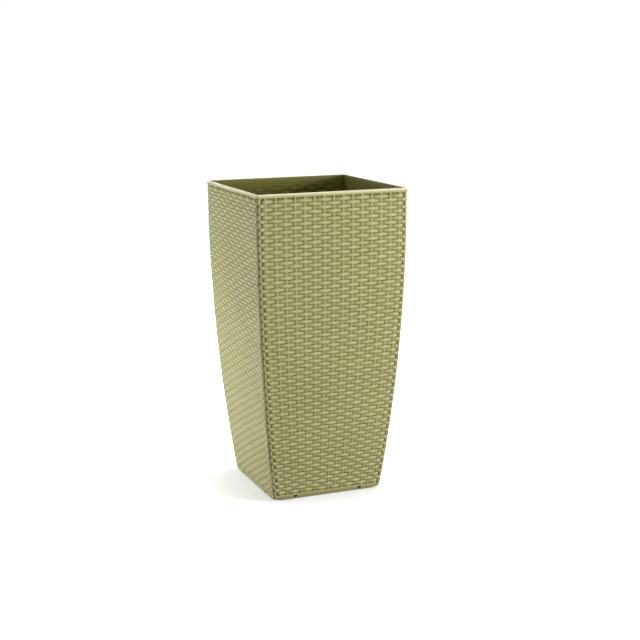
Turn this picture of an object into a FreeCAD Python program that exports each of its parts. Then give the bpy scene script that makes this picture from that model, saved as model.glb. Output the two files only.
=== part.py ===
import FreeCAD, Part
import math
import os
import re
import Sketcher

# Square planter: four moulded wall panels on a base plate, with a drop-in liner and its two bails.
# Millimetres, +Z up, origin on the floor under the middle of the planter, front towards -Y.

# Driving dimensions
SIZES = {
    # Whole planter: width over the rim, width of the rim's face carried down to the floor, height,
    # upright stretch below the rim
    "rim_width": 304,
    "foot_width": 226.6,
    "height": 600,
    "upright": 38.5,
    # Wall panel: wall, depth of the woven field below the rim bead, the bead, the bands, the open corner seam
    "wall": 3,
    "relief": 1.6,
    "rim_bead": 4.5,
    "rim_round": 1.2,
    "rim_band": 9.5,
    "rim_inset": 0.9,
    "foot_band": 11,
    "foot_inset": 1.2,
    "foot_round": 1.5,
    "seam": 0.3,
    # Stakes of the woven field, measured at the rim, and the distance from the middle where their fans meet
    "stake_pitch": 19.5,
    "stake_width": 5.3,
    "stake_height": 1,
    "stake_apex": 11,
    "edge_rib": 3.2,
    # Toe along the foot that carries the base plate
    "toe_depth": 14,
    "toe_thickness": 4.5,
    # Ledge that carries the liner, and its gussets
    "seat_drop": 64,
    "ledge_depth": 11,
    "ledge_width": 150,
    "ledge_thickness": 3,
    "gusset_height": 16,
    "gusset_thickness": 2.5,
    "gusset_pitch": 60,
    # Hooks and eyes that join two panels at a corner
    "hook_first": 90,
    "hook_spacing": 200,
    "hook_count": 3,
    "hook_width": 4,
    "hook_thickness": 3,
    "hook_reach": 9,
    "hook_offset": 5,
    "hook_drop": 7,
    "hook_play": 0.3,
    "eye_margin": 2.5,
    # Base plate and the tongues that pass through the panels
    "base_thickness": 3.5,
    "base_play": 0.4,
    "base_corner": 12,
    "tongue_width": 5.8,
    "tongue_pitch": 135,
    "tongue_recess": 0.6,
    "tongue_play": 0.3,
    "upstand_height": 15,
    "upstand_thickness": 2.5,
    "upstand_inset": 4,
    "base_rib": 2,
    "base_rib_height": 8,
    "base_drain_width": 8,
    "base_drain_length": 30,
    "base_drain_offset": 45,
    # Liner
    "liner_depth": 290,
    "liner_wall": 2.2,
    "liner_floor": 2.6,
    "liner_gap": 14,
    "liner_play": 1,
    "liner_corner": 24,
    "lip_thickness": 3.5,
    "lip_play": 2.5,
    "liner_drain_width": 6,
    "liner_drain_length": 24,
    "liner_drain_offset": 50,
    # Bails and the lugs that they swing in
    "bail_width": 6,
    "bail_thickness": 5,
    "bail_bevel": 1.4,
    "bail_play": 0.3,
    "bail_corner": 20,
    "lug_thickness": 3,
    "lug_radius": 5,
    "lug_inset": 1.5,
    "pin": 4,
    "pin_play": 0.05,
    "pivot_offset": 7,
}

doc = FreeCAD.newDocument("planter")
sheet = doc.addObject("Spreadsheet::Sheet", "sizes")
for row, (alias, size) in enumerate(SIZES.items(), start=1):
    sheet.set(f"A{row}", alias)
    sheet.set(f"B{row}", str(size))
    sheet.setAlias(f"B{row}", alias)
doc.recompute()


def bound(formula):
    """Turn a formula on plain size names into an expression on the sheet's cells."""
    return re.sub(r"[a-z_]+", lambda word: f"sizes.{word[0]}" if word[0] in SIZES else word[0], formula)


def value(formula):
    """Number that a formula gives with the sheet's present sizes."""
    return float(sheet.evalExpression(bound(formula)))


# Wall profile: upright below the rim, then one tangent arc down to the floor
RIM_HALF = "(rim_width / 2)"
FOOT_HALF = "(foot_width / 2)"
ARC_TOP = "(height - upright)"
ARC_RADIUS = f"(({ARC_TOP}^2 + (rim_width - foot_width)^2 / 4) / (rim_width - foot_width))"


def radius_at(inset):
    """Radius of the wall arc that lies inset within the rim bead's outer face."""
    return f"({ARC_RADIUS} - ({inset}))"


def half_at(level, inset):
    """Half width across the faces that lie inset within the rim bead's outer face, at a level on the arc."""
    return f"({RIM_HALF} - {ARC_RADIUS} + sqrt({radius_at(inset)}^2 - ({ARC_TOP} - ({level}))^2))"


# Depths below the rim bead's outer face
BAND = "rim_inset"
FOOT = "foot_inset"
FIELD = "relief"
STAKE_TOP = "(relief - stake_height)"
MID_WALL = "(relief + wall / 2)"
INNER = "(relief + wall)"
INNER_HALF = f"({RIM_HALF} - {INNER})"
SEAT = "(height - seat_drop)"


def turned(point):
    """Corner of an outline after a quarter turn about the middle."""
    return (f"(-({point[1]}))", point[0])


def new_sketch(body, name, plane, lift="0"):
    """Sketch on one of the body's own origin planes, lifted along the plane's normal."""
    sketch = body.newObject("Sketcher::SketchObject", name)
    support = next(item for item in body.Origin.OriginFeatures if item.Role == plane)
    sketch.AttachmentSupport = [(support, "")]
    sketch.MapMode = "FlatFace"
    sketch.setExpression("AttachmentOffset.Base.z", bound(lift))
    return sketch


def place_point(sketch, edge, end, point):
    """Hold one end of an edge at a corner given by two formulas."""
    for kind, formula in zip(("DistanceX", "DistanceY"), point):
        index = sketch.addConstraint(Sketcher.Constraint(kind, -1, 1, edge, end, value(formula)))
        sketch.setExpression(f"Constraints[{index}]", bound(formula))


def arc_between(start, finish, radius):
    """Arc from start to finish, centred on the left of the way for a positive radius, else on the right."""
    chord = finish - start
    middle = (start + finish) / 2
    left = FreeCAD.Vector(-chord.y, chord.x, 0) / chord.Length
    rise = math.sqrt(radius ** 2 - (chord.Length / 2) ** 2)
    centre = middle + left * math.copysign(rise, radius)
    circle = Part.Circle(centre, FreeCAD.Vector(0, 0, 1), abs(radius))
    angles = [math.atan2(end.y - centre.y, end.x - centre.x) for end in (start, finish)]
    return Part.ArcOfCircle(circle, *(angles if radius > 0 else reversed(angles)))


def draw_loop(sketch, corners):
    """Closed outline. A corner is (x, y), or (x, y, radius) where an arc leads on to the next corner."""
    first = sketch.GeometryCount
    ends = []
    points = [FreeCAD.Vector(value(corner[0]), value(corner[1]), 0) for corner in corners]
    for index, corner in enumerate(corners):
        start = points[index]
        finish = points[(index + 1) % len(corners)]
        if len(corner) == 2:
            sketch.addGeometry(Part.LineSegment(start, finish))
            ends.append((1, 2))
            continue
        radius = value(corner[2])
        edge = sketch.addGeometry(arc_between(start, finish, radius))
        ends.append((1, 2) if radius > 0 else (2, 1))
        held = sketch.addConstraint(Sketcher.Constraint("Radius", edge, abs(radius)))
        sketch.setExpression(f"Constraints[{held}]", bound(f"abs({corner[2]})"))
    for index in range(len(corners)):
        following = (index + 1) % len(corners)
        joint = (first + index, ends[index][1], first + following, ends[following][0])
        sketch.addConstraint(Sketcher.Constraint("Coincident", *joint))
    for index, corner in enumerate(corners):
        place_point(sketch, first + index, ends[index][0], corner[:2])


def draw_circle(sketch, centre, radius):
    """Circle at a centre given by two formulas."""
    middle = FreeCAD.Vector(value(centre[0]), value(centre[1]), 0)
    edge = sketch.addGeometry(Part.Circle(middle, FreeCAD.Vector(0, 0, 1), value(radius)))
    held = sketch.addConstraint(Sketcher.Constraint("Radius", edge, value(radius)))
    sketch.setExpression(f"Constraints[{held}]", bound(radius))
    place_point(sketch, edge, 3, centre)


def rectangle(middle, half_width, half_height):
    """Corners of a rectangle about its middle, counter-clockwise."""
    across, up = middle
    sides = [(-1, -1), (1, -1), (1, 1), (-1, 1)]
    return [(f"({across} + {x} * ({half_width}))", f"({up} + {y} * ({half_height}))") for x, y in sides]


def outline(body, name, plane, loops, lift="0"):
    """Sketch of one or more closed outlines."""
    sketch = new_sketch(body, name, plane, lift)
    for corners in loops:
        draw_loop(sketch, corners)
    return sketch


def pad(body, name, sketch, length, side="One side", down=False):
    """Material added along the sketch's normal, or against it when down."""
    feature = body.newObject("PartDesign::Pad", name)
    feature.Profile = sketch
    feature.SideType = side
    feature.Reversed = down
    feature.setExpression("Length", bound(length))
    doc.recompute()
    return feature


def pocket(body, name, sketch, length=None):
    """Material cut against the sketch's normal, or right through both ways without a length."""
    before = body.Shape.Volume
    feature = body.newObject("PartDesign::Pocket", name)
    feature.Profile = sketch
    if length is None:
        feature.Type = "ThroughAll"
        feature.SideType = "Symmetric"
    else:
        feature.setExpression("Length", bound(length))
    doc.recompute()
    if not body.Shape.Volume < before:
        raise RuntimeError(f"{name} cuts nothing from {body.Label}")
    return feature


def dress(body, kind, name, size, chosen):
    """Fillet or chamfer on the edges of the body's tip that the chosen test picks."""
    tip = body.Tip
    edges = [f"Edge{number}" for number, edge in enumerate(tip.Shape.Edges, start=1) if chosen(edge)]
    feature = body.newObject(f"PartDesign::{kind}", name)
    feature.Base = (tip, edges)
    feature.setExpression("Radius" if kind == "Fillet" else "Size", bound(size))
    doc.recompute()
    return feature


def repeat_round(body, name, feature, count):
    """Copies of a feature turned about the upright axis."""
    pattern = body.newObject("PartDesign::PolarPattern", name)
    pattern.Originals = [feature]
    pattern.Axis = (next(item for item in body.Origin.OriginFeatures if item.Role == "Z_Axis"), [""])
    pattern.Angle = 360
    pattern.Occurrences = count
    body.Tip = pattern
    doc.recompute()
    return pattern


def mirror(body, name, features):
    """Copies of features on the other side of the middle plane across X."""
    mirrored = body.newObject("PartDesign::Mirrored", name)
    mirrored.Originals = features
    mirrored.MirrorPlane = (next(item for item in body.Origin.OriginFeatures if item.Role == "YZ_Plane"), [""])
    body.Tip = mirrored
    doc.recompute()
    return mirrored


def new_body(label):
    """Empty body under its node's name."""
    body = doc.addObject("PartDesign::Body", label)
    body.Label = label
    return body


def turned_copy(label, original, quarter_turns):
    """Clone of a body, turned in quarter turns about the upright axis."""
    body = new_body(label)
    clone = body.newObject("PartDesign::FeatureBase", f"{label}_clone")
    clone.BaseFeature = original
    body.Tip = clone
    upright_axis = FreeCAD.Vector(0, 0, 1)
    body.Placement = FreeCAD.Placement(FreeCAD.Vector(), FreeCAD.Rotation(upright_axis, 90 * quarter_turns))
    doc.recompute()
    return body


# Wall panel, modelled facing +X
def strip_between(low_slope, high_slope):
    """Outline of a fan-shaped strip of the wall, between two slopes from the point where the fans meet."""
    near = f"({FOOT_HALF} / 2)"
    far = "rim_width"
    return [
        (near, f"(({near} - stake_apex) * {low_slope})"),
        (far, f"(({far} - stake_apex) * {low_slope})"),
        (far, f"(({far} - stake_apex) * {high_slope})"),
        (near, f"(({near} - stake_apex) * {high_slope})"),
    ]


def add_stakes(body):
    """Upright stakes and edge ribs: a skin over the field, cut away in fans that narrow with the wall."""
    field_top = "(height - rim_band)"
    skin = [
        (half_at("foot_band", STAKE_TOP), "foot_band", radius_at(STAKE_TOP)),
        (f"({RIM_HALF} - {STAKE_TOP})", ARC_TOP),
        (f"({RIM_HALF} - {STAKE_TOP})", field_top),
        (f"({RIM_HALF} - {MID_WALL})", field_top),
        (f"({RIM_HALF} - {MID_WALL})", ARC_TOP, f"(-{radius_at(MID_WALL)})"),
        (half_at("foot_band", MID_WALL), "foot_band"),
    ]
    pad(body, "skin", outline(body, "skin_profile", "XZ_Plane", [skin]), "rim_width", "Symmetric")
    last = math.floor(value(f"({RIM_HALF} - edge_rib - stake_width) / stake_pitch"))
    span = f"({RIM_HALF} - stake_apex)"
    edges = [f"((edge_rib - {RIM_HALF}) / {span})"]
    for stake in range(-last, last + 1):
        edges.append(f"(({stake} * stake_pitch - stake_width / 2) / {span})")
        edges.append(f"(({stake} * stake_pitch + stake_width / 2) / {span})")
    edges.append(f"(({RIM_HALF} - edge_rib) / {span})")
    gaps = [strip_between(low, high) for low, high in zip(edges[::2], edges[1::2])]
    pocket(body, "stake_gaps", outline(body, "stake_gap_plan", "XY_Plane", gaps))


def add_wall(body):
    """Wall with its rim bead, rim band, foot band and toe, rounded at the rim and at the foot."""
    toe_half = f"({half_at('0', FOOT)} - toe_depth)"
    section = [
        (toe_half, "0"),
        (half_at("0", FOOT), "0", radius_at(FOOT)),
        (half_at("foot_band", FOOT), "foot_band"),
        (half_at("foot_band", FIELD), "foot_band", radius_at(FIELD)),
        (f"({RIM_HALF} - {FIELD})", ARC_TOP),
        (f"({RIM_HALF} - {FIELD})", "(height - rim_band)"),
        (f"({RIM_HALF} - {BAND})", "(height - rim_band)"),
        (f"({RIM_HALF} - {BAND})", "(height - rim_bead)"),
        (RIM_HALF, "(height - rim_bead)"),
        (RIM_HALF, "height"),
        (INNER_HALF, "height"),
        (INNER_HALF, ARC_TOP, f"(-{radius_at(INNER)})"),
        (half_at("toe_thickness", INNER), "toe_thickness"),
        (toe_half, "toe_thickness"),
    ]
    pad(body, "wall_section", outline(body, "wall_profile", "XZ_Plane", [section]), "rim_width", "Symmetric")
    rim_level = value("height")
    dress(body, "Fillet", "rim_rounding", "rim_round", lambda edge: edge.BoundBox.ZMin > rim_level - 0.01
          and edge.BoundBox.YLength > value(RIM_HALF))
    foot_face = value(half_at("0", FOOT))
    dress(body, "Fillet", "foot_rounding", "foot_round", lambda edge: edge.BoundBox.ZMax < 0.01
          and edge.BoundBox.XMin > foot_face - 0.01)


def cut_mitres(body):
    """Both upright edges on the corner diagonals, each half a seam short of them."""
    near = f"({FOOT_HALF} / 2)"
    far = "rim_width"
    short = "(seam * sqrt(2) / 2)"
    left = [(near, f"({near} - {short})"), (far, f"({far} - {short})"), (near, f"({far} - {short})")]
    right = [(corner[0], f"(-{corner[1]})") for corner in reversed(left)]
    pocket(body, "mitres", outline(body, "mitre_plan", "XY_Plane", [left, right]))


def cut_slots(body):
    """Two slots in the foot band that take the base plate's tongues."""
    half_slot = "(tongue_width / 2 + tongue_play)"
    half_height = "((base_thickness + tongue_play) / 2)"
    level = f"(toe_thickness + {half_height})"
    loops = [rectangle((f"({side}tongue_pitch / 2)", level), half_slot, half_height) for side in ("-", "")]
    pocket(body, "slots", outline(body, "slot_outlines", "YZ_Plane", loops))


def add_ledge(body):
    """Ledge on the inner face that the liner's lip rests on, over three gussets."""
    tip = f"({INNER_HALF} - ledge_depth)"
    root = f"({half_at(SEAT + ' - ledge_thickness - gusset_height', MID_WALL)})"
    under = f"({SEAT} - ledge_thickness)"
    shelf = [(tip, under), (root, under), (root, SEAT), (tip, SEAT)]
    pad(body, "ledge", outline(body, "ledge_profile", "XZ_Plane", [shelf]), "ledge_width", "Symmetric")
    web = [(tip, under), (root, f"({under} - gusset_height)"), (root, under)]
    gusset = pad(body, "gusset", outline(body, "gusset_profile", "XZ_Plane", [web], "gusset_pitch"),
                 "gusset_thickness", "Symmetric")
    row = body.newObject("PartDesign::LinearPattern", "gusset_row")
    row.Originals = [gusset]
    row.Direction = (next(item for item in body.Origin.OriginFeatures if item.Role == "Y_Axis"), [""])
    row.setExpression("Length", bound("2 * gusset_pitch"))
    row.Occurrences = 3
    body.Tip = row
    doc.recompute()


def add_hook(body, number):
    """One eye at the panel's right edge and the hook at its left edge that drops into the next panel's eye."""
    level = f"(hook_first + {number} * hook_spacing)"
    face = half_at(level, INNER)
    root = half_at(level, MID_WALL)
    half_hook = "hook_width / 2"
    half_hole = f"({half_hook} + hook_play)"
    half_eye = f"({half_hole} + eye_margin)"
    eye = [
        (f"({face} - hook_offset - {half_eye})", f"(hook_reach - {half_eye} - {face})"),
        (root, f"(hook_reach - {half_eye} - {face})"),
        (root, f"(hook_reach + {half_eye} - {face})"),
        (f"({face} - hook_offset - {half_eye})", f"(hook_reach + {half_eye} - {face})"),
    ]
    hole = rectangle((f"({face} - hook_offset)", f"(hook_reach - {face})"), half_hole, half_hole)
    eye_sketch = outline(body, "eye_plan", "XY_Plane", [eye, hole], level)
    pad(body, "eye", eye_sketch, "hook_thickness", down=True)
    low = f"({face} - hook_offset - {half_hook})"
    high = f"({face} - hook_offset + {half_hook})"
    tip = f"({face} - hook_reach - {half_hook})"
    arm = [(tip, low), (root, low), (root, high), (tip, high)]
    pad(body, "hook_arm", outline(body, "hook_arm_plan", "XY_Plane", [arm], level), "hook_thickness")
    prong = rectangle((f"({face} - hook_reach)", f"({face} - hook_offset)"), half_hook, half_hook)
    prong_sketch = outline(body, "hook_prong_plan", "XY_Plane", [prong], level)
    pad(body, "hook_prong", prong_sketch, "hook_drop", down=True)


def make_panel(label):
    """One wall panel, the same moulding on all four sides."""
    body = new_body(label)
    add_stakes(body)
    add_wall(body)
    cut_mitres(body)
    cut_slots(body)
    add_ledge(body)
    for number in range(round(value("hook_count"))):
        add_hook(body, number)
    return body


# Base plate
def make_base_plate():
    """Plate on the panels' toes with two tongues a side, an upstand, crossed ribs and drain holes."""
    body = new_body("base_plate")
    half = f"({half_at('toe_thickness', INNER)} - base_play)"
    reach = f"({half_at('0', FOOT)} - tongue_recess)"
    side = [(half, f"(base_corner - {half})")]
    for sign in ("-", ""):
        low = f"({sign}tongue_pitch / 2 - tongue_width / 2)"
        high = f"({sign}tongue_pitch / 2 + tongue_width / 2)"
        side += [(half, low), (reach, low), (reach, high), (half, high)]
    side.append((half, f"({half} - base_corner)"))
    corners = []
    for _ in range(4):
        corners += side
        side = [turned(point) for point in side]
    pad(body, "plate", outline(body, "plate_outline", "XY_Plane", [corners], "toe_thickness"), "base_thickness")
    top = "(toe_thickness + base_thickness)"
    rings = []
    for inset in ("upstand_inset", "(upstand_inset + upstand_thickness)"):
        edge = f"({half} - {inset})"
        ring = []
        side = [(edge, f"(base_corner - {edge})"), (edge, f"({edge} - base_corner)")]
        for _ in range(4):
            ring += side
            side = [turned(point) for point in side]
        rings.append(ring)
    pad(body, "upstand", outline(body, "upstand_plan", "XY_Plane", rings, top), "upstand_height")
    run = f"({half} - upstand_inset - upstand_thickness / 2)"
    cross = []
    side = [(run, "(-base_rib / 2)"), (run, "(base_rib / 2)"), ("(base_rib / 2)", "(base_rib / 2)")]
    for _ in range(4):
        cross += side
        side = [turned(point) for point in side]
    pad(body, "ribs", outline(body, "rib_plan", "XY_Plane", [cross], top), "base_rib_height")
    drain = rectangle(("base_drain_offset", "base_drain_offset"), "base_drain_width / 2", "base_drain_length / 2")
    drain_sketch = outline(body, "drain_plan", "XY_Plane", [drain], top)
    repeat_round(body, "drains", pocket(body, "drain", drain_sketch, "base_thickness"), 4)
    return body


# Liner
LEDGE_TIP = f"({INNER_HALF} - ledge_depth)"
LINER_TOP_HALF = f"({LEDGE_TIP} - liner_play)"
LINER_BOTTOM = f"({SEAT} - liner_depth)"
LINER_BOTTOM_HALF = f"({half_at(LINER_BOTTOM, INNER)} - liner_gap)"
LIP_HALF = f"({INNER_HALF} - lip_play)"
LIP_TOP = f"({SEAT} + lip_thickness)"
PIVOT_LEVEL = f"({LIP_TOP} + bail_play + bail_thickness / 2)"
LUG_OUTER = f"({LIP_HALF} - lug_inset)"
LUG_INNER = f"({LUG_OUTER} - lug_thickness)"
BAIL_OUTER = f"({LUG_INNER} - bail_play)"
BAIL_INNER = f"({BAIL_OUTER} - bail_width)"


def rounded_square(half, corner):
    """Outline of a square with round corners, counter-clockwise."""
    side = [(half, f"({corner} - {half})"), (half, f"({half} - {corner})", corner)]
    corners = []
    for _ in range(4):
        corners += side
        side = [turned(side[0]), (*turned(side[1]), corner)]
    return corners


def liner_half(level):
    """Half width of the liner's outer face at a level, on its straight draft."""
    share = f"(({level} - {LINER_BOTTOM}) / liner_depth)"
    return f"({LINER_BOTTOM_HALF} + ({LINER_TOP_HALF} - {LINER_BOTTOM_HALF}) * {share})"


def loft(body, kind, name, low, high):
    """Straight-sided loft between two sketches."""
    feature = body.newObject(f"PartDesign::{kind}", name)
    feature.Profile = low
    feature.Sections = [high]
    feature.Ruled = True
    doc.recompute()
    return feature


def make_liner():
    """Square pot with round corners, a lip to hang by, drain holes and two lugs for the bails."""
    body = new_body("liner")
    shell = [outline(body, f"liner_{name}", "XY_Plane", [rounded_square(liner_half(level), "liner_corner")], level)
             for name, level in (("bottom", LINER_BOTTOM), ("top", SEAT))]
    loft(body, "AdditiveLoft", "liner_shell", *shell)
    lip_corner = f"(liner_corner + {LIP_HALF} - {LINER_TOP_HALF})"
    lip = outline(body, "lip_outline", "XY_Plane", [rounded_square(LIP_HALF, lip_corner)], SEAT)
    pad(body, "lip", lip, "lip_thickness")
    inner_corner = "(liner_corner - liner_wall)"
    hollow = []
    for name, level in (("floor", f"({LINER_BOTTOM} + liner_floor)"), ("mouth", LIP_TOP)):
        loop = rounded_square(f"({liner_half(level)} - liner_wall)", inner_corner)
        hollow.append(outline(body, f"hollow_{name}", "XY_Plane", [loop], level))
    loft(body, "SubtractiveLoft", "hollow", *hollow)
    middle = ("liner_drain_offset", "liner_drain_offset")
    drain = rectangle(middle, "liner_drain_width / 2", "liner_drain_length / 2")
    drain_sketch = outline(body, "drain_plan", "XY_Plane", [drain], f"({LINER_BOTTOM} + liner_floor)")
    repeat_round(body, "drains", pocket(body, "drain", drain_sketch, "liner_floor"), 4)
    reach = "(pivot_offset + lug_radius)"
    crest = f"({PIVOT_LEVEL} + lug_radius)"
    plate = [
        (f"(-{reach})", f"({LIP_TOP} - lip_thickness / 2)"),
        (reach, f"({LIP_TOP} - lip_thickness / 2)"),
        (reach, PIVOT_LEVEL, "lug_radius"),
        ("pivot_offset", crest),
        ("(-pivot_offset)", crest, "lug_radius"),
        (f"(-{reach})", PIVOT_LEVEL),
    ]
    lug_sketch = outline(body, "lug_outline", "YZ_Plane", [plate], LUG_INNER)
    for centre in ("(-pivot_offset)", "pivot_offset"):
        draw_circle(lug_sketch, (centre, PIVOT_LEVEL), "(pin / 2 + pin_play)")
    mirror(body, "lugs", [pad(body, "lug", lug_sketch, "lug_thickness")])
    return body


# Bail
def make_bail(label):
    """Half-square handle that lies on the front half of the lip, with a pin at each end."""
    body = new_body(label)
    inner_corner = "(bail_corner - bail_width)"
    hinge = "(-pivot_offset)"
    hoop = [
        (f"(-{BAIL_OUTER})", hinge),
        (f"(-{BAIL_OUTER})", f"(bail_corner - {BAIL_OUTER})", "bail_corner"),
        (f"(bail_corner - {BAIL_OUTER})", f"(-{BAIL_OUTER})"),
        (f"({BAIL_OUTER} - bail_corner)", f"(-{BAIL_OUTER})", "bail_corner"),
        (BAIL_OUTER, f"(bail_corner - {BAIL_OUTER})"),
        (BAIL_OUTER, hinge),
        (BAIL_INNER, hinge),
        (BAIL_INNER, f"({inner_corner} - {BAIL_INNER})", f"(-{inner_corner})"),
        (f"({BAIL_INNER} - {inner_corner})", f"(-{BAIL_INNER})"),
        (f"({inner_corner} - {BAIL_INNER})", f"(-{BAIL_INNER})", f"(-{inner_corner})"),
        (f"(-{BAIL_INNER})", f"({inner_corner} - {BAIL_INNER})"),
        (f"(-{BAIL_INNER})", hinge),
    ]
    level = f"({LIP_TOP} + bail_play)"
    pad(body, "hoop", outline(body, "hoop_outline", "XY_Plane", [hoop], level), "bail_thickness")
    hinge_line = value(hinge)
    dress(body, "Chamfer", "hoop_bevels", "bail_bevel", lambda edge: edge.BoundBox.ZLength < 0.01
          and edge.BoundBox.YMin < hinge_line - 0.01)
    knuckle_sketch = new_sketch(body, "knuckle_outline", "YZ_Plane", BAIL_INNER)
    draw_circle(knuckle_sketch, (hinge, PIVOT_LEVEL), "bail_thickness / 2")
    knuckle = pad(body, "knuckle", knuckle_sketch, "bail_width")
    pin_sketch = new_sketch(body, "pin_outline", "YZ_Plane", f"({BAIL_OUTER} - bail_width / 2)")
    draw_circle(pin_sketch, (hinge, PIVOT_LEVEL), "pin / 2")
    pin = pad(body, "hinge_pin", pin_sketch, "(bail_width / 2 + bail_play + lug_thickness)")
    mirror(body, "other_end", [knuckle, pin])
    return body


nodes = [make_panel("wall_panel_right")]
for turns, side in enumerate(("back", "left", "front"), start=1):
    nodes.append(turned_copy(f"wall_panel_{side}", nodes[0], turns))
nodes.append(make_base_plate())
nodes.append(make_liner())
nodes.append(make_bail("bail_front"))
nodes.append(turned_copy("bail_back", nodes[-1], 2))
doc.recompute()

# Every object has to be sound before any file is written
for item in doc.Objects:
    if "Invalid" in item.State or "Error" in item.State:
        raise RuntimeError(f"{item.Label} failed: {item.State}")
for node in nodes:
    if node.Shape.isNull() or not node.Shape.isValid() or len(node.Shape.Solids) != 1:
        raise RuntimeError(f"{node.Label} is not one sound solid")
os.makedirs("parts", exist_ok=True)
for node in nodes:
    node.Shape.exportStep(f"parts/{node.Label}.step")
    box = node.Shape.BoundBox
    print(f"{node.Label}: {node.Shape.Volume / 1000:.1f} cm3, {box.XLength:.1f} x {box.YLength:.1f} x {box.ZLength:.1f}")
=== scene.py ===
import math

import bpy
import numpy as np
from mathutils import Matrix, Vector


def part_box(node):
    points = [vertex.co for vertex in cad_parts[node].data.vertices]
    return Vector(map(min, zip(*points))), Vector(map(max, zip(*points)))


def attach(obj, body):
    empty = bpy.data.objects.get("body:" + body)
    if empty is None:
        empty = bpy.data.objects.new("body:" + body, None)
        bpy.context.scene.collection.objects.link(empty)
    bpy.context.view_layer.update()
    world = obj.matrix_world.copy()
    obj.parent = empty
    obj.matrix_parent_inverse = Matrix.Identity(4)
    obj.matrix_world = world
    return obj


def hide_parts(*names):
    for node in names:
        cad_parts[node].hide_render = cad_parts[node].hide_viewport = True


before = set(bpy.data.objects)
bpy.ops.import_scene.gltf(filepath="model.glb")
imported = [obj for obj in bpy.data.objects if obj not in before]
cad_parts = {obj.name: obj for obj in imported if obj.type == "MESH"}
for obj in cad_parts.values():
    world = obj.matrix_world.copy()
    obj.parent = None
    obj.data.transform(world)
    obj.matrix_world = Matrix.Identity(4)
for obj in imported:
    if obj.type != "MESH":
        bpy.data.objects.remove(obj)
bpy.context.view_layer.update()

# Base plate: the black plate that ties the four walls together at the foot. It is injection moulded in one
# piece with its upstand and ribs, rests on the walls' toes and shows from outside only as the tongues in the
# walls' slots.
MM = 0.001
# The plate's near-black is darker than plain black plastic, partly painted shade for the tongues seen deep in
# the walls' slots
BASE_BLACK = (0.006, 0.006, 0.006)
BLACK_CLOUDS = (22, 22, 22)
BLACK_PALER = 1.9
BLACK_RUBS = (60, 60, 60)
RUB_POLISH = 0.08
RUB_SCUFF = 0.1
BLACK_GRAIN_DEPTH = 0.12 * MM


def add_node(tree, kind, **inputs):
    """Shader node of a kind, with some of its sockets set."""
    node = tree.nodes.new(kind)
    for socket, value in inputs.items():
        node.inputs[socket].default_value = value
    return node


def stretched_noise(tree, stretch, detail):
    """Noise over the piece's own coordinates, with its frequency set for each axis in cycles per metre."""
    place = tree.nodes.new("ShaderNodeTexCoord")
    mapping = add_node(tree, "ShaderNodeMapping", Scale=stretch)
    noise = add_node(tree, "ShaderNodeTexNoise", Scale=1.0, Detail=detail)
    tree.links.new(place.outputs["Object"], mapping.inputs["Vector"])
    tree.links.new(mapping.outputs["Vector"], noise.inputs["Vector"])
    return noise.outputs["Fac"]


def remapped(tree, source, low, high, at=(0.3, 0.7)):
    """Number that runs from low to high as the source runs between two values, which take in most of a noise
    if they aren't given."""
    node = add_node(tree, "ShaderNodeMapRange")
    for socket, value in zip(("From Min", "From Max", "To Min", "To Max"), (*at, low, high)):
        node.inputs[socket].default_value = value
    tree.links.new(source, node.inputs["Value"])
    return node.outputs["Result"]


def mixed(tree, factor, low, high):
    """Colour between two colours, given as tuples or sockets. The node's colours are its inputs 6 and 7 and
    its output 2, as other sockets share their names."""
    node = tree.nodes.new("ShaderNodeMix")
    node.data_type = "RGBA"
    tree.links.new(factor, node.inputs["Factor"])
    for socket, colour in ((node.inputs[6], low), (node.inputs[7], high)):
        if isinstance(colour, tuple):
            socket.default_value = (*colour, 1.0)
        else:
            tree.links.new(colour, socket)
    return node.outputs[2]


def bumped(tree, height, distance, under=None):
    """Normal bent by a height, over another bump where there is one."""
    node = add_node(tree, "ShaderNodeBump", Strength=1.0, Distance=distance)
    tree.links.new(height, node.inputs["Height"])
    if under is not None:
        tree.links.new(under, node.inputs["Normal"])
    return node.outputs["Normal"]


def black_plastic(name, colour, grain, roughness, gloss):
    """Black moulded plastic: cloudy tone, faint rubbed patches that shine a little more or less, and a fine
    spark-eroded grain."""
    material = bpy.data.materials.new(name)
    material.use_nodes = True
    tree = material.node_tree
    shader = tree.nodes["Principled BSDF"]
    shader.inputs["Specular IOR Level"].default_value = gloss
    clouds = remapped(tree, stretched_noise(tree, BLACK_CLOUDS, detail=3), 0, 1)
    paler = tuple(BLACK_PALER * channel for channel in colour)
    tree.links.new(mixed(tree, clouds, colour, paler), shader.inputs["Base Color"])
    rubs = stretched_noise(tree, BLACK_RUBS, detail=4)
    polish = remapped(tree, rubs, roughness - RUB_POLISH, roughness + RUB_SCUFF)
    tree.links.new(polish, shader.inputs["Roughness"])
    pits = stretched_noise(tree, (grain, grain, grain), detail=2)
    tree.links.new(bumped(tree, pits, BLACK_GRAIN_DEPTH), shader.inputs["Normal"])
    return material


base_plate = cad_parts["base_plate"]
base_plate.data.materials.clear()
base_black = black_plastic("base_plate_black", BASE_BLACK, grain=1500, roughness=0.75, gloss=0.15)
base_plate.data.materials.append(base_black)

# Wall panels: four like walls of olive plastic, injection moulded with a woven relief of round strands that
# pass over and behind upright stakes. They meet on the corner diagonals, hook together inside and stand on
# their own toes.
RIM_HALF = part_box("wall_panel_right")[1].x
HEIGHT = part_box("wall_panel_right")[1].z
FOOT_HALF = 113.3 * MM
UPRIGHT = 38.5 * MM
ARC_TOP = HEIGHT - UPRIGHT
ARC_RADIUS = (ARC_TOP ** 2 + (RIM_HALF - FOOT_HALF) ** 2) / (2 * (RIM_HALF - FOOT_HALF))
INNER_DEPTH = 4.6 * MM
SEAM = 0.12 * MM
MITRE_SHORT = SEAM * math.sqrt(2) / 2

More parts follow.
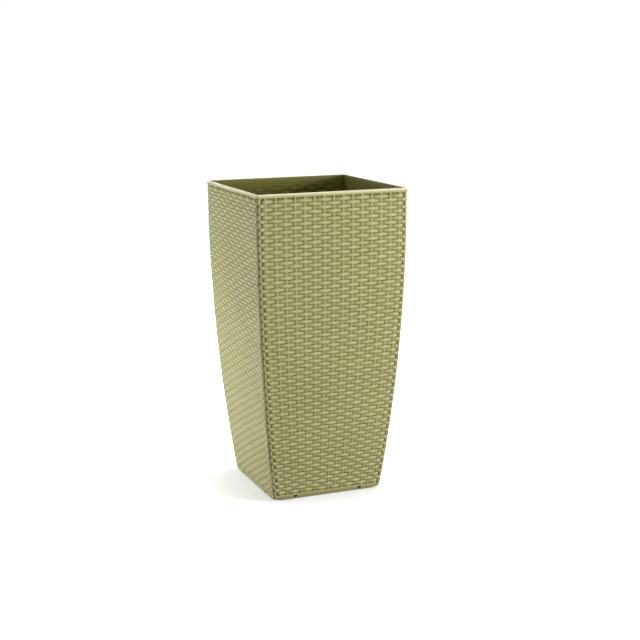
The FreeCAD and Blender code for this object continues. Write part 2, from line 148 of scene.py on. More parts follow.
# Rim: a bead that falls back to the top, and a plain band set back under it
RIM_BEAD = 4.5 * MM
RIM_FALL = 2.2 * MM
RIM_ROUND = 1.2 * MM
RIM_BAND = 7.2 * MM
RIM_INSET = 0.9 * MM
BEAD_STEP = 0.4 * RIM_INSET
BEAD_CORNER = 1.5 * MM

# Foot: a plain band with a round edge and lifted corners, two slots for the base plate's tongues, and a toe
FOOT_BAND = 11 * MM
FOOT_INSET = 1.2 * MM
FOOT_BLEND = (-1 * MM, 1.5 * MM)
FOOT_ROUND = 4.3 * MM
FOOT_FALL = 6 * MM
FOOT_CORNER = 5.5 * MM
FOOT_CORNER_FADE = (4 * MM, 30 * MM)
FOOT_LIFT = 2.2 * MM
FOOT_LIFT_WIDTH = 24 * MM
SLOT_PLACE = 67.5 * MM
SLOT_HALF = 3.5 * MM
SLOT_TOP = 8.8 * MM
SLOT_REACH = 6
TOE_DEPTH = 14 * MM
TOE_THICKNESS = 4.5 * MM
TOE_ROWS = 2

# Weave: places across the wall as they stand at the rim, rows by their way down the wall, and heights against
# the rim bead's face
STAKE_PITCH = 19.2 * MM
STAKE_APEX = 11 * MM
LAST_STAKE = 7
STAKE_HALF = 2.65 * MM
STAKE_FOOT = 1.08 * STAKE_HALF
STAKE_TOP = -1.6 * MM
STAKE_POWER = 2.5
ROWS = 81
ROW_PITCH = 7.144 * MM
FIRST_ROW = 14.0 * MM
STRAND_HALF = 4.1 * MM
DIVED_WIDTH = 0.7
WIDTH_GAIN = 0.3
WIDTH_POWER = 0.4
STRAND_HIGH = -0.2 * MM
STRAND_LOW = -2.8 * MM
RIDGE_POWER = 0.5
STRAND_PLAY = 0.3 * MM
SWELL_PLAY = 0.5 * STRAND_PLAY
PLAY_SEED = 4
END_DIVE = 1.6
GAP_FLOOR = -3.9 * MM

# Corner strip beside each seam, with notches where strands end on it, and the shallow groove along the seam
STRIP = 4.6 * MM
STRIP_REACH = 1.01 * STRIP
STRIP_TOP = -1.5 * MM
STRIP_ROUND = 2.8 * MM
STRIP_NOTCH = 0.9 * MM
NOTCH_HALF = 0.3 * ROW_PITCH
FAN_END = 2.9 * MM
FAN_FADE = 7.5 * MM
GROOVE = 2.4 * MM
GROOVE_DEPTH = 0.2 * MM
GROOVE_OPENS = (55 * MM, 110 * MM)
GROOVE_CLOSES = (HEIGHT - 2.5 * MM, HEIGHT - 1.2 * MM)

# Inner face: the weave's faint imprint, which leaves a smooth stretch under the rim
SMOOTH_INSIDE = 11 * MM
IMPRINT_OPENS = (14 * MM, 20 * MM)
IMPRINT_CLOSES = (HEIGHT - 2 * SMOOTH_INSIDE, HEIGHT - SMOOTH_INSIDE)
IMPRINT_ZERO = -1.5 * MM
IMPRINT_SHARE = 0.6

# Turns at which the grids' rows follow the rounded edges, and the rim bead
EDGE_TURNS = np.radians([0, 30, 60, 90])
BEAD_TURNS = np.radians([8, 18, 28, 40, 55, 70, 90])

# Shades that paint light and shade into the olive's colour: 1 at the height of the bead's face and 0 a span
# below it, a painted highlight on high parts and painted shade on low ones, with values of their own for the
# bead, the foot, the groove and the inside
SHADE_SPAN = 2.15 * MM
BEAD_SHADE = 1.6
FOOT_SHADE = 0.05
GROOVE_SHADE = 0.1
INSIDE_SHADE = -0.35


def wall_half(level, depth):
    """Distance from the middle of the planter to the wall at a level and a depth under the rim bead's face.
    The wall is upright under the rim and then follows one tangent arc down to the floor."""
    drop = np.maximum(ARC_TOP - level, 0)
    return RIM_HALF - ARC_RADIUS + np.sqrt((ARC_RADIUS - depth) ** 2 - drop ** 2)


def way_down(level):
    """Way down the wall's face from the rim to a level: the upright stretch and then the arc's length."""
    drop = np.maximum(ARC_TOP - level, 0)
    return HEIGHT - np.maximum(level, ARC_TOP) + ARC_RADIUS * np.arcsin(drop / ARC_RADIUS)


def level_down(way):
    """Level that a way down the wall's face from the rim leads to, along the upright stretch and the arc."""
    turn = np.maximum(way - UPRIGHT, 0) / ARC_RADIUS
    return HEIGHT - np.minimum(way, UPRIGHT) - ARC_RADIUS * np.sin(turn)


def eased(value, low, high):
    """Smooth step from 0 at low to 1 at high."""
    share = np.clip((value - low) / (high - low), 0, 1)
    return share * share * (3 - 2 * share)


def corner_fall(distance, radius):
    """How far the face falls back at a distance from the mitre, where it follows a quarter circle of a radius
    that touches both walls' faces."""
    inside = np.clip(distance, 0, radius)
    return radius - (inside + np.sqrt(2 * radius ** 2 - inside ** 2)) / 2


def weave(place, way):
    """Height of the weave at places across the wall and ways down it.
    Stakes are bars with a squared-off ellipse as their section, and a strip borders each corner. A strand's
    ridge is the root of a raised cosine along its row, high over every second stake and low behind the
    others. Past the last stake it dives sooner or, where it comes from behind that stake, rises once more and
    notches the strip. Its section is half an ellipse that narrows as the strand dives, and each stretch has a
    little play of its own. The highest of the stake and the two nearest strands shows."""
    place = place[None, :]
    way = way[:, None]
    corner_stake = LAST_STAKE + 1
    ends = np.array([-RIM_HALF, -LAST_STAKE * STAKE_PITCH, LAST_STAKE * STAKE_PITCH, RIM_HALF])
    along = np.interp(place, ends, [-corner_stake, -LAST_STAKE, LAST_STAKE, corner_stake])
    past_last = np.abs(along) > LAST_STAKE
    play = np.random.default_rng(PLAY_SEED).uniform(-1, 1, (3, ROWS + 2, 2 * corner_stake + 4))
    nearest = np.round((way - FIRST_ROW) / ROW_PITCH).astype(int)
    beside = nearest + np.where(way - FIRST_ROW > nearest * ROW_PITCH, 1, -1)
    high = np.full(np.broadcast_shapes(place.shape, way.shape), GAP_FLOOR)
    notch = np.zeros(high.shape)
    for row in (nearest, beside):
        over_stake = 2 * np.round((along + row - 1) / 2).astype(int) + 1 - row
        dive = np.where(past_last, END_DIVE, 1)
        lift = (1 + np.cos(np.pi * np.clip(dive * (along - over_stake), -1, 1))) / 2
        wrapped = past_last & (np.abs(over_stake) == corner_stake)
        lift = np.where(wrapped, (1 - np.cos(2 * np.pi * (np.abs(along) - LAST_STAKE))) / 2, lift)
        stretch_play = play[:, np.clip(row + 1, 0, ROWS + 1), over_stake + corner_stake + 1]
        shift, swell, tilt = stretch_play * lift
        off_row = FIRST_ROW + row * ROW_PITCH - way
        notch = np.maximum(notch, wrapped * np.exp(-(off_row / NOTCH_HALF) ** 2))
        off_row = off_row - STRAND_PLAY * (shift + tilt * np.sin(np.pi * (along - over_stake)))
        ridge = STRAND_LOW + (STRAND_HIGH - STRAND_LOW) * lift ** RIDGE_POWER + SWELL_PLAY * (swell - lift)
        half = STRAND_HALF * (DIVED_WIDTH + WIDTH_GAIN * lift ** WIDTH_POWER)
        section = np.sqrt(np.maximum(1 - (off_row / half) ** 2, 0)) * ((row >= 0) & (row < ROWS))
        high = np.maximum(high, GAP_FLOOR + (ridge - GAP_FLOOR) * section)
    stake = np.clip(np.round(along), -LAST_STAKE, LAST_STAKE) * STAKE_PITCH
    off_stake = np.abs(place - stake) / STAKE_FOOT
    bar = np.maximum(1 - off_stake ** STAKE_POWER, 0) ** (1 / STAKE_POWER)
    high = np.maximum(high, GAP_FLOOR + (STAKE_TOP - GAP_FLOOR) * bar)
    return np.where(RIM_HALF - np.abs(place) < STRIP_REACH, STRIP_TOP - STRIP_NOTCH * notch, high)


def weave_columns(near, middle, corner):
    """Places at the rim that the grid's columns stand at: near each stake by multiples of its half width, at
    middle fractions of the free span between two stakes, and at distances from the corners in millimetres."""
    stakes = np.arange(-LAST_STAKE, LAST_STAKE + 1) * STAKE_PITCH
    near = np.array(near) * STAKE_HALF
    middle = np.array(middle)
    corner = RIM_HALF - np.array(corner) * MM
    free = near[-1] + middle * (STAKE_PITCH - 2 * near[-1])
    steps = np.concatenate([[0], near, free, STAKE_PITCH - near[::-1]])
    flank = stakes[-1] + near[-1]
    last = stakes[-1] + np.append(0, near)
    end = np.concatenate([last, flank + middle * (corner[0] - flank), corner, [RIM_HALF]])
    return np.concatenate([-end[:0:-1], np.add.outer(stakes[:-1], steps).ravel(), end])


def weave_levels(parts):
    """Levels of the grid's rows through the weave, at fractions of the pitch about each strand, upwards."""
    rows = FIRST_ROW + np.arange(ROWS - 1, -1, -1) * ROW_PITCH
    return level_down((rows[:, None] - np.array(parts) * ROW_PITCH).ravel())


def fanned(place, face, surface):
    """Places across a wall whose face and surface stand at given distances from the middle, for places at the
    rim. Stakes run towards one point behind the wall, the corner strips keep their width down to the floor,
    and a short stretch between the two passes evenly from one to the other."""
    from_middle = np.abs(place)
    fan = from_middle * (face - STAKE_APEX) / (RIM_HALF - STAKE_APEX)
    edge = surface - MITRE_SHORT - (RIM_HALF - from_middle)
    share = np.clip((from_middle - (LAST_STAKE * STAKE_PITCH + FAN_END)) / FAN_FADE, 0, 1)
    return np.sign(place) * (fan + (edge - fan) * share)


def slotted(places, rows, middle):
    """Move a grid's columns in some rows so that three of them stand at a slot's edges and middle, on either
    side, and those between there and the ends of the reach are spread evenly."""
    reach = np.arange(middle - SLOT_REACH, middle + SLOT_REACH + 1)
    marks = [reach[0], middle - 1, middle, middle + 1, reach[-1]]
    slot = [SLOT_PLACE - SLOT_HALF, SLOT_PLACE, SLOT_PLACE + SLOT_HALF]
    for row in rows:
        edges = [places[row, reach[0]], *slot, places[row, reach[-1]]]
        places[row, reach] = np.interp(reach, marks, edges)
        places[row, -1 - reach] = -places[row, reach]


def outer_sheet():
    """Outer face of a wall facing +X: a grid of points and one of shades, the rows' levels, the columns'
    places at the rim, and the column in the middle of a slot.
    The weave runs out into the plain bands at the foot and under the rim. The foot and the rim bead fall back
    in a quarter of an ellipse, the corners in a quarter circle, and a shallow groove follows the seam."""
    foot_round = FOOT_ROUND * (1 - np.cos(EDGE_TURNS))
    foot_edge = FOOT_BAND + np.array([-1.5, -0.4, 0.2]) * MM
    foot_levels = np.concatenate([foot_round, [TOE_THICKNESS, SLOT_TOP], foot_edge])
    field_levels = weave_levels((-0.5, -0.43, -0.32, -0.13, 0.13, 0.32, 0.43))
    band_edge = HEIGHT - RIM_BAND + np.array([-0.4, -0.1, 0.1]) * MM
    bead_edge = HEIGHT - RIM_BEAD + np.array([-0.1, 0.0]) * MM
    bead_levels = HEIGHT - RIM_BEAD * (1 - np.sin(BEAD_TURNS))
    levels = np.concatenate([foot_levels, field_levels, band_edge, bead_edge, bead_levels])
    places = weave_columns(near=(0.7, 1.1), middle=(0.22, 0.5, 0.78), corner=(5.1, 4.6, 2.5, 2.3))
    slot_row = len(EDGE_TURNS)
    bead = len(levels) - len(bead_levels)

    high = weave(places, way_down(levels))
    woven = eased(levels, FOOT_BAND + FOOT_BLEND[0], FOOT_BAND + FOOT_BLEND[1])
    high = -FOOT_INSET + (high + FOOT_INSET) * woven[:, None]
    high[bead - 3:bead - 1] = -RIM_INSET
    high[bead - 1] = -BEAD_STEP
    high[bead:] = 0
    # Painted light and shade: the higher the weave, the paler its colour as a painted highlight; the lower,
    # the deeper its colour as painted shade
    shades = 1 + high / SHADE_SPAN
    # The rim bead gets a painted highlight
    shades[bead:] = BEAD_SHADE
    # Painted shade on the foot band up to the slots' top
    shades[:slot_row + 2] = FOOT_SHADE

    high[:slot_row] -= FOOT_FALL * (1 - np.sin(EDGE_TURNS))[:, None]
    high[bead:] -= RIM_FALL * (1 - np.cos(BEAD_TURNS))[:, None]
    edge = np.broadcast_to(RIM_HALF - np.abs(places), high.shape)
    corner = FOOT_CORNER + (STRIP_ROUND - FOOT_CORNER) * eased(levels, *FOOT_CORNER_FADE)
    corner = np.where(levels > HEIGHT - RIM_BEAD, BEAD_CORNER, corner)
    high -= corner_fall(edge, corner[:, None])
    groove = eased(levels, *GROOVE_OPENS) * (1 - eased(levels, *GROOVE_CLOSES))
    high -= GROOVE_DEPTH * groove[:, None] * (edge < GROOVE)
    # Painted shade along the groove beside the seam
    shades -= GROOVE_SHADE * groove[:, None] * (edge < GROOVE)

    across = wall_half(levels[:, None], -high)
    sideways = fanned(places, wall_half(levels[:, None], 0), across)
    lift = FOOT_LIFT * (1 - eased(edge, 0, FOOT_LIFT_WIDTH)) * (1 - eased(levels, 0, FOOT_BAND))[:, None]
    slot_at = np.argmin(np.abs(sideways[slot_row] - SLOT_PLACE))
    slotted(sideways, range(slot_row + 3), slot_at)
    return np.stack([across, sideways, levels[:, None] + lift], axis=2), shades, levels, places, slot_at


def inner_sheet():
    """Inner face of the same wall, in the same terms as the outer one.
    It lies at an even depth with a share of the weave's height as an imprint. The rim's edge is a quarter
    circle, and the two lowest rows stand at the tip of the toe."""
    rim_levels = HEIGHT - RIM_ROUND * (1 - np.sin(EDGE_TURNS))
    foot_levels = [TOE_THICKNESS, SLOT_TOP, FOOT_BAND + FOOT_BLEND[0]]
    levels = np.concatenate([foot_levels, weave_levels((-0.5, -0.2, 0.2)), rim_levels])
    places = weave_columns(near=(1.1,), middle=(0.5,), corner=(2.0,))
    shown = eased(levels, *IMPRINT_OPENS) * (1 - eased(levels, *IMPRINT_CLOSES))
    imprint = (weave(places, way_down(levels)) - IMPRINT_ZERO) * shown[:, None]
    depth = INNER_DEPTH - IMPRINT_SHARE * imprint
    depth[-len(EDGE_TURNS):] -= RIM_ROUND * (1 - np.cos(EDGE_TURNS))[:, None]

    across = wall_half(levels[:, None], depth)
    sideways = fanned(places, wall_half(levels[:, None], 0), across)
    slot_at = np.argmin(np.abs(sideways[0] - SLOT_PLACE))
    slotted(sideways, range(len(foot_levels)), slot_at)
    toe_tip = wall_half(0, FOOT_INSET) - TOE_DEPTH
    toe_places = places / RIM_HALF * (toe_tip - MITRE_SHORT)
    across = np.concatenate([np.full((TOE_ROWS, len(places)), toe_tip), across])
    sideways = np.concatenate([np.tile(toe_places, (TOE_ROWS, 1)), sideways])
    levels = np.concatenate([[0, TOE_THICKNESS], levels])
    # Painted shade over the whole inner face, lighter or deeper with the imprint's relief
    shades = np.full(across.shape, INSIDE_SHADE)
    shades[TOE_ROWS:] += imprint / (2 * SHADE_SPAN)
    upright = np.broadcast_to(levels[:, None], across.shape)
    return np.stack([across, sideways, upright], axis=2), shades, levels, places, slot_at


def slot_columns(middle, columns):
    """First and last column of the slot on either side, from the middle column of one of them."""
    return [(middle - 1, middle + 1), (columns - 2 - middle, columns - middle)]


def sheet_faces(numbers, slot_row, slots):
    """Quads between neighbouring vertices of a grid of vertex numbers, left out in one row of cells at each
    slot."""
    corners = (numbers[:-1, :-1], numbers[:-1, 1:], numbers[1:, 1:], numbers[1:, :-1])
    kept = np.ones(corners[0].shape, bool)
    for low, end in slots:
        kept[slot_row, low:end] = False
    return np.stack([corner[kept] for corner in corners], axis=1)


def laced(first, first_at, second, second_at):
    """Triangles between two lines of vertices: each step goes on along the line whose next vertex comes
    sooner."""
    along_first = np.repeat([True, False], [len(first) - 1, len(second) - 1])
    order = np.argsort(np.concatenate([first_at[1:], second_at[1:]]), kind="stable")
    along_first = along_first[order]
    on_first = np.cumsum(along_first)
    on_second = np.cumsum(~along_first)
    apex = np.where(along_first, first[on_first], second[on_second])
    return np.stack([first[on_first - along_first], second[on_second - ~along_first], apex], axis=1)


def wall_sheets():
    """Points, faces and shades of one wall facing +X: the outer and the inner sheet, laced together round the
    edges and through the two slots into one closed surface."""
    outer, outer_shades, levels, places, slot_at = outer_sheet()
    inner, inner_shades, inner_levels, inner_places, inner_slot_at = inner_sheet()
    points = np.concatenate([outer.reshape(-1, 3), inner.reshape(-1, 3)])
    shades = np.concatenate([outer_shades.ravel(), inner_shades.ravel()])
    outer_numbers = np.arange(outer_shades.size).reshape(outer_shades.shape)
    inner_numbers = outer_shades.size + np.arange(inner_shades.size).reshape(inner_shades.shape)
    slot_row = len(EDGE_TURNS)
    slots = slot_columns(slot_at, len(places))
    inner_slots = slot_columns(inner_slot_at, len(inner_places))

    # The toe's rows come before the outer sheet's lowest row on the way up the mitre
    climb = np.concatenate([[-2 * MM, -MM], inner_levels[TOE_ROWS:]])
    strips = [
        laced(inner_numbers[-1], inner_places, outer_numbers[-1], places),
        laced(outer_numbers[0], places, inner_numbers[0], inner_places),
        laced(outer_numbers[:, -1], levels, inner_numbers[:, -1], climb),
        laced(inner_numbers[:, 0], climb, outer_numbers[:, 0], levels),
    ]
    along = np.arange(3)
    upward = np.arange(2)
    for (low, end), (inner_low, inner_end) in zip(slots, inner_slots):
        hole = outer_numbers[slot_row:slot_row + 2, low:end + 1]
        inner_hole = inner_numbers[TOE_ROWS:TOE_ROWS + 2, inner_low:inner_end + 1]
        strips.append(laced(hole[1], along, inner_hole[1], along))
        strips.append(laced(inner_hole[0], along, hole[0], along))
        strips.append(laced(hole[:, 0], upward, inner_hole[:, 0], upward))
        strips.append(laced(inner_hole[:, -1], upward, hole[:, -1], upward))
    faces = sheet_faces(outer_numbers, slot_row, slots).tolist()
    faces += sheet_faces(inner_numbers, TOE_ROWS, inner_slots)[:, ::-1].tolist()
    for strip in strips:
        faces += strip.tolist()
    return points, faces, shades


# Ledge under the liner's lip, its gussets, and the hooks and eyes that join two walls
SEAT = HEIGHT - 64 * MM
LEDGE_DEPTH = 11 * MM
LEDGE_THICKNESS = 3 * MM
LEDGE_HALF = 75 * MM
GUSSET_HEIGHT = 16 * MM
GUSSET_THICKNESS = 2.5 * MM
GUSSET_PITCH = 60 * MM
GUSSET_BACK = 1 * MM
ROOT_DEPTH = 3.7 * MM
HOOK_LEVELS = (90 * MM, 290 * MM, 490 * MM)
HOOK_HALF = 2 * MM
HOOK_THICKNESS = 3 * MM
HOOK_REACH = 9 * MM
HOOK_OFFSET = 5 * MM
HOOK_DROP = 7 * MM
EYE_HOLE = 2.3 * MM
EYE_HALF = 4.8 * MM


def four_corners(low, high):
    """Corners of a rectangle between its lowest and its highest corner, in turn."""
    return [(low[0], low[1]), (high[0], low[1]), (high[0], high[1]), (low[0], high[1])]


def prism(outline, start, span):
    """Closed prism: an outline of levels and distances from the middle, carried sideways along the wall."""
    levels, distances = np.array(outline).T
    count = len(levels)
    sideways = np.repeat([start, start + span], count)
    points = np.column_stack([np.tile(distances, 2), sideways, np.tile(levels, 2)])
    here = np.arange(count)
    following = (here + 1) % count
    sides = np.stack([here, following, following + count, here + count], axis=1)
    return points, [*sides.tolist(), here[::-1].tolist(), (here + count).tolist()]


def framed_plate(low, high, hole_low, hole_high, bottom, top):
    """Closed level plate between two corners, with a four-sided hole. Its points are the outline and the hole
    at the bottom and then both at the top."""
    plan = np.array(four_corners(low, high) + four_corners(hole_low, hole_high))
    points = np.concatenate([np.column_stack([plan, np.full(8, level)]) for level in (bottom, top)])
    here = np.arange(4)
    following = (here + 1) % 4
    quads = [np.stack([here + 8, following + 8, following + 12, here + 12], axis=1),
             np.stack([following, here, here + 4, following + 4], axis=1),
             np.stack([here, following, following + 8, here + 8], axis=1),
             np.stack([following + 4, here + 4, here + 12, following + 12], axis=1)]
    return points, np.concatenate(quads).tolist()


def wall_fittings():
    """Closed solids on the inner face: ledge, three gussets, and at each hook level an eye and a hook."""
    tip = RIM_HALF - INNER_DEPTH - LEDGE_DEPTH
    root = RIM_HALF - ROOT_DEPTH
    under = SEAT - LEDGE_THICKNESS
    solids = [prism(four_corners((under, tip), (SEAT, root)), -LEDGE_HALF, 2 * LEDGE_HALF)]
    web_root = wall_half(under - GUSSET_HEIGHT, ROOT_DEPTH)
    web = [(under, tip + GUSSET_BACK), (under, root), (under - GUSSET_HEIGHT, web_root)]
    for place in (-GUSSET_PITCH, 0, GUSSET_PITCH):
        solids.append(prism(web, place - GUSSET_THICKNESS / 2, GUSSET_THICKNESS))
    for level in HOOK_LEVELS:
        face = float(wall_half(level, INNER_DEPTH))
        root = float(wall_half(level, ROOT_DEPTH))
        middle = np.array([face - HOOK_OFFSET, HOOK_REACH - face])
        solids.append(framed_plate(middle - EYE_HALF, (root, middle[1] + EYE_HALF),
                                   middle - EYE_HOLE, middle + EYE_HOLE, level - HOOK_THICKNESS, level))
        prong = face - HOOK_REACH
        hook = [(level - HOOK_DROP, prong - HOOK_HALF), (level + HOOK_THICKNESS, prong - HOOK_HALF),
                (level + HOOK_THICKNESS, root), (level, root), (level, prong + HOOK_HALF),
                (level - HOOK_DROP, prong + HOOK_HALF)]
        solids.append(prism(hook, face - HOOK_OFFSET - HOOK_HALF, 2 * HOOK_HALF))
    return solids


# Olive finish: its colours, with paler ones for painted highlight and a deeper one for painted shade, the
# shades between which they take over, and its patterns in cycles per metre
OLIVE = (0.458, 0.44, 0.212)
OLIVE_PAINTED_HIGHLIGHT = (0.575, 0.555, 0.305)
OLIVE_PAINTED_SHADE = (0.2, 0.19, 0.035)
# A paler colour on the rim bead as a painted highlight
OLIVE_BEAD_HIGHLIGHT = (0.68, 0.655, 0.4)
OLIVE_GLOSS = 0.2
CLOUD_TONE = 0.9
HIGHLIGHT_SHARE = 0.9
HIGHLIGHT_RANGE = (0.5, 1.0)
PAINTED_SHADE_RANGE = (-0.3, 0.4)
BEAD_HIGHLIGHT_RANGE = (1.1, 1.5)
OLIVE_CLOUDS = (9, 9, 9)
FIBRES = (35, 35, 1700)
FIBRE_DEPTH = 0.12 * MM
FIBRE_ROUGHNESS = (0.42, 0.58)
BEAD_POLISH = 0.7
GRAIN = (1300, 1300, 1300)
GRAIN_DEPTH = 0.06 * MM


def olive_plastic():
    """Olive moulded plastic that carries painted light and shade from the walls' shades: a painted highlight
    on the crowns, painted shade in the gaps, at the foot, in the groove and inside, and a painted highlight
    and a smoother finish on the rim bead, with a cloudy tone, fibres drawn level along the strands and a fine
    grain."""
    material = bpy.data.materials.new("olive_woven_plastic")
    material.use_nodes = True
    tree = material.node_tree
    shader = tree.nodes["Principled BSDF"]
    shader.inputs["Specular IOR Level"].default_value = OLIVE_GLOSS
    height = tree.nodes.new("ShaderNodeAttribute")
    height.attribute_name = "painted_shading"
    shade = height.outputs["Fac"]
    clouds = remapped(tree, stretched_noise(tree, OLIVE_CLOUDS, detail=4), 0, 1)
    fibres = stretched_noise(tree, FIBRES, detail=3)
    body = mixed(tree, clouds, OLIVE, tuple(CLOUD_TONE * channel for channel in OLIVE))
    # Painted highlight on the crowns and painted shade in the gaps, at the foot, in the groove and inside
    highlighted_colour = mixed(tree, remapped(tree, shade, 0, HIGHLIGHT_SHARE, HIGHLIGHT_RANGE), body, OLIVE_PAINTED_HIGHLIGHT)
    painted_shade_share = remapped(tree, shade, 1, 0, PAINTED_SHADE_RANGE)
    # Painted highlight on the rim bead, which is also made smoother
    bead_polish_and_highlight = remapped(tree, shade, 0, 1, BEAD_HIGHLIGHT_RANGE)
    colour = mixed(tree, bead_polish_and_highlight, mixed(tree, painted_shade_share, highlighted_colour, OLIVE_PAINTED_SHADE), OLIVE_BEAD_HIGHLIGHT)
    tree.links.new(colour, shader.inputs["Base Color"])
    polish = tree.nodes.new("ShaderNodeMath")
    polish.operation = "MULTIPLY"
    tree.links.new(remapped(tree, fibres, *FIBRE_ROUGHNESS), polish.inputs[0])
    tree.links.new(remapped(tree, bead_polish_and_highlight, 1.0, BEAD_POLISH, (0, 1)), polish.inputs[1])
    tree.links.new(polish.outputs[0], shader.inputs["Roughness"])
    grain = bumped(tree, stretched_noise(tree, GRAIN, detail=2), GRAIN_DEPTH)
    tree.links.new(bumped(tree, fibres, FIBRE_DEPTH, grain), shader.inputs["Normal"])
    return material


def put_mesh(name, points, faces, smooth_under):
    """Mesh object made of points and faces, smooth where faces meet under an angle in degrees."""
    mesh = bpy.data.meshes.new(name)
    mesh.from_pydata(points, [], faces)
    mesh.shade_smooth()
    mesh.set_sharp_from_angle(angle=math.radians(smooth_under))
    piece = bpy.data.objects.new(name, mesh)
    bpy.context.scene.collection.objects.link(piece)
    return piece


wall_points, wall_faces, wall_shades = wall_sheets()
for fitting_points, fitting_faces in wall_fittings():
    wall_faces += [[corner + len(wall_points) for corner in face] for face in fitting_faces]
    wall_points = np.concatenate([wall_points, fitting_points])
    # The fittings get the same painted shade as the inner face
    wall_shades = np.concatenate([wall_shades, np.full(len(fitting_points), INSIDE_SHADE)])
wall_olive = olive_plastic()
for side, turn_cos, turn_sin in (("right", 1, 0), ("back", 0, 1), ("left", -1, 0), ("front", 0, -1)):
    turned = np.column_stack([wall_points[:, 0] * turn_cos - wall_points[:, 1] * turn_sin,
                              wall_points[:, 0] * turn_sin + wall_points[:, 1] * turn_cos, wall_points[:, 2]])
    panel = put_mesh(f"woven_panel_{side}", turned, wall_faces, smooth_under=48)
    # The shades reach the material as painted light and shade
    panel.data.attributes.new("painted_shading", "FLOAT", "POINT").data.foreach_set("value", wall_shades)
    panel.data.materials.append(wall_olive)
    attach(panel, "planter")
    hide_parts(f"wall_panel_{side}")

# Liner: the black pot that holds the soil. It is thin moulded plastic with a flat lip, hangs by that lip on
# the walls' ledges and has drain slots in its floor and a lug on each side for the two handles.
LINER_BLACK = (0.024, 0.024, 0.023)
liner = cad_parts["liner"]
liner.data.materials.clear()
liner.data.materials.append(black_plastic("liner_black", LINER_BLACK, grain=1100, roughness=0.5, gloss=0.4))

# Bails: the pair of swing handles that lift the liner. Each is one smooth black moulding, a half-square hoop
# whose two pins snap into the liner's lugs, and lies flat on the lip when it is not in use.
BAIL_BLACK = (0.014, 0.014, 0.014)
bail_black = black_plastic("bail_black", BAIL_BLACK, grain=2400, roughness=0.4, gloss=0.5)
for bail_name in ("bail_front", "bail_back"):
    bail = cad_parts[bail_name]
    bail.data.materials.clear()
    bail.data.materials.append(bail_black)

# Studio: a plain white floor that keeps a faint shadow, a white surround, a soft key light from the front
# right with weaker lights for the other sides, and a camera at the photograph's place.
FLOOR_HALF = 12.0
FLOOR_GREY = (0.06, 0.06, 0.06)
FLOOR_PALE = (0.66, 0.66, 0.66)
# Glow near the planter and far from it: the weaker glow near it paints shade round the foot
FLOOR_GLOW = (0.49, 1.0)
FLOOR_FADE = (0.15, 0.3)
AMBIENT = 0.11


def seen_directly(tree):
    """1 for rays that the camera, a gloss or a clear surface sends, 0 for rays that light other surfaces."""
    path = tree.nodes.new("ShaderNodeLightPath")
    shown = path.outputs["Is Camera Ray"]
    for kind in ("Is Glossy Ray", "Is Transmission Ray"):
        either = tree.nodes.new("ShaderNodeMath")
        either.operation = "MAXIMUM"
        tree.links.new(shown, either.inputs[0])
        tree.links.new(path.outputs[kind], either.inputs[1])
        shown = either.outputs[0]
    return shown


def white_floor():
    """White floor: a diffuse part that takes the shadow, and for direct sight a glow that brings it up to
    white, with less of it near the planter, where this paints shade round the foot on top of the real shadow.
    For rays that light the planter it is a dark grey without a glow."""
    material = bpy.data.materials.new("white_floor")
    material.use_nodes = True
    tree = material.node_tree
    tree.nodes.remove(tree.nodes["Principled BSDF"])
    shown = seen_directly(tree)
    matt = tree.nodes.new("ShaderNodeBsdfDiffuse")
    tree.links.new(mixed(tree, shown, FLOOR_GREY, FLOOR_PALE), matt.inputs["Color"])
    place = tree.nodes.new("ShaderNodeTexCoord")
    distance = tree.nodes.new("ShaderNodeVectorMath")
    distance.operation = "LENGTH"
    tree.links.new(place.outputs["Object"], distance.inputs[0])
    strength = tree.nodes.new("ShaderNodeMath")
    strength.operation = "MULTIPLY"
    tree.links.new(shown, strength.inputs[0])
    tree.links.new(remapped(tree, distance.outputs["Value"], *FLOOR_GLOW, FLOOR_FADE), strength.inputs[1])
    glow = add_node(tree, "ShaderNodeEmission", Color=(1, 1, 1, 1))
    tree.links.new(strength.outputs[0], glow.inputs["Strength"])
    both = tree.nodes.new("ShaderNodeAddShader")
    tree.links.new(matt.outputs[0], both.inputs[0])
    tree.links.new(glow.outputs[0], both.inputs[1])
    tree.links.new(both.outputs[0], tree.nodes["Material Output"].inputs["Surface"])
    return material


floor_corners = np.array([(-1, -1, 0), (1, -1, 0), (1, 1, 0), (-1, 1, 0)]) * FLOOR_HALF
floor = put_mesh("studio_floor", floor_corners, [[0, 1, 2, 3]], smooth_under=30)
floor.data.materials.append(white_floor())

world = bpy.data.worlds.new("white_surround")
bpy.context.scene.world = world
world.use_nodes = True
surround = world.node_tree.nodes["Background"]
surround.inputs["Color"].default_value = (1, 1, 1, 1)
surround_light = remapped(world.node_tree, seen_directly(world.node_tree), AMBIENT, 1.0, (0, 1))
world.node_tree.links.new(surround_light, surround.inputs["Strength"])


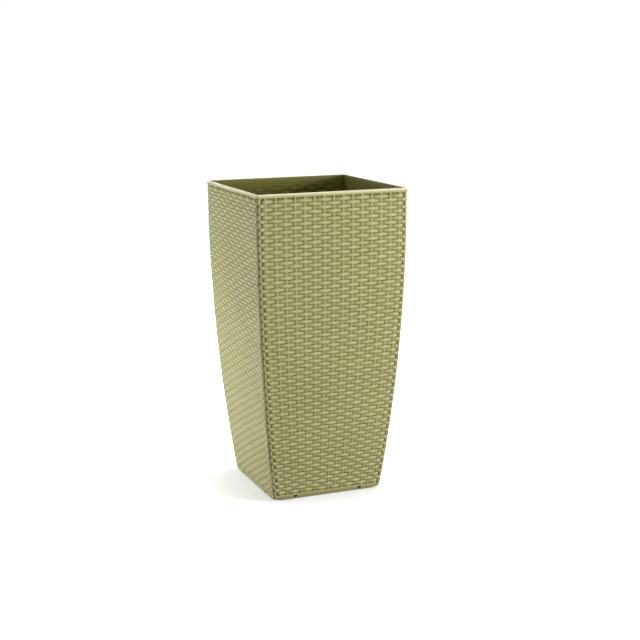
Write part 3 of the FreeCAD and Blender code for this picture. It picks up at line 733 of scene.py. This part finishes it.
def soft_light(name, turn, distance, level, size, energy):
    """Round area light at a turn round the planter in degrees, a distance from its middle line and a level,
    aimed at the planter's middle."""
    turn = math.radians(turn)
    lamp = bpy.data.lights.new(name, "AREA")
    lamp.shape = "DISK"
    lamp.size = size
    lamp.energy = energy
    light = bpy.data.objects.new(name, lamp)
    bpy.context.scene.collection.objects.link(light)
    light.location = (distance * math.cos(turn), distance * math.sin(turn), level)
    light.rotation_euler = (math.atan2(distance, level - HEIGHT / 2), 0, turn + math.pi / 2)


soft_light("key_light", turn=-39, distance=2.4, level=0.7, size=0.9, energy=71)
soft_light("fill_light", turn=152, distance=0.85, level=0.05, size=0.45, energy=7.2)
soft_light("corner_light", turn=-140, distance=2.4, level=0.5, size=1.0, energy=7)
soft_light("left_light", turn=170, distance=2.4, level=1.1, size=0.6, energy=12)
soft_light("top_light", turn=15, distance=0.6, level=2.6, size=1.2, energy=45)
soft_light("back_light", turn=86, distance=2.6, level=0.75, size=1.2, energy=32)

# Camera: turned and raised about the planter's middle, rolled a little, and moved aside and up from there
AZIMUTH = math.radians(-22.03)
ELEVATION = math.radians(11.672)
ROLL = math.radians(-0.366)
DISTANCE = 17.248 * RIM_HALF
ASIDE = 0.1936 * RIM_HALF
ABOVE = 0.1597 * RIM_HALF
MIDDLE_LEVEL = 2 * RIM_HALF
LENS = 73.87
SENSOR = 36
right = np.array([math.cos(AZIMUTH), math.sin(AZIMUTH), 0])
back = np.array([math.sin(AZIMUTH) * math.cos(ELEVATION), -math.cos(AZIMUTH) * math.cos(ELEVATION),
                 math.sin(ELEVATION)])
up = np.cross(back, right)
camera_data = bpy.data.cameras.new("camera")
camera_data.sensor_width = SENSOR
camera_data.lens = LENS
camera = bpy.data.objects.new("camera", camera_data)
bpy.context.scene.collection.objects.link(camera)
pose = np.eye(4)
pose[:3, 0] = right * math.cos(ROLL) + up * math.sin(ROLL)
pose[:3, 1] = up * math.cos(ROLL) - right * math.sin(ROLL)
pose[:3, 2] = back
pose[:3, 3] = np.array([0, 0, MIDDLE_LEVEL]) + back * DISTANCE + right * ASIDE + up * ABOVE
# Blender takes a nested list as the columns of the matrix
camera.matrix_world = pose.T.tolist()
bpy.context.scene.camera = camera
bpy.context.scene.view_settings.view_transform = "Standard"
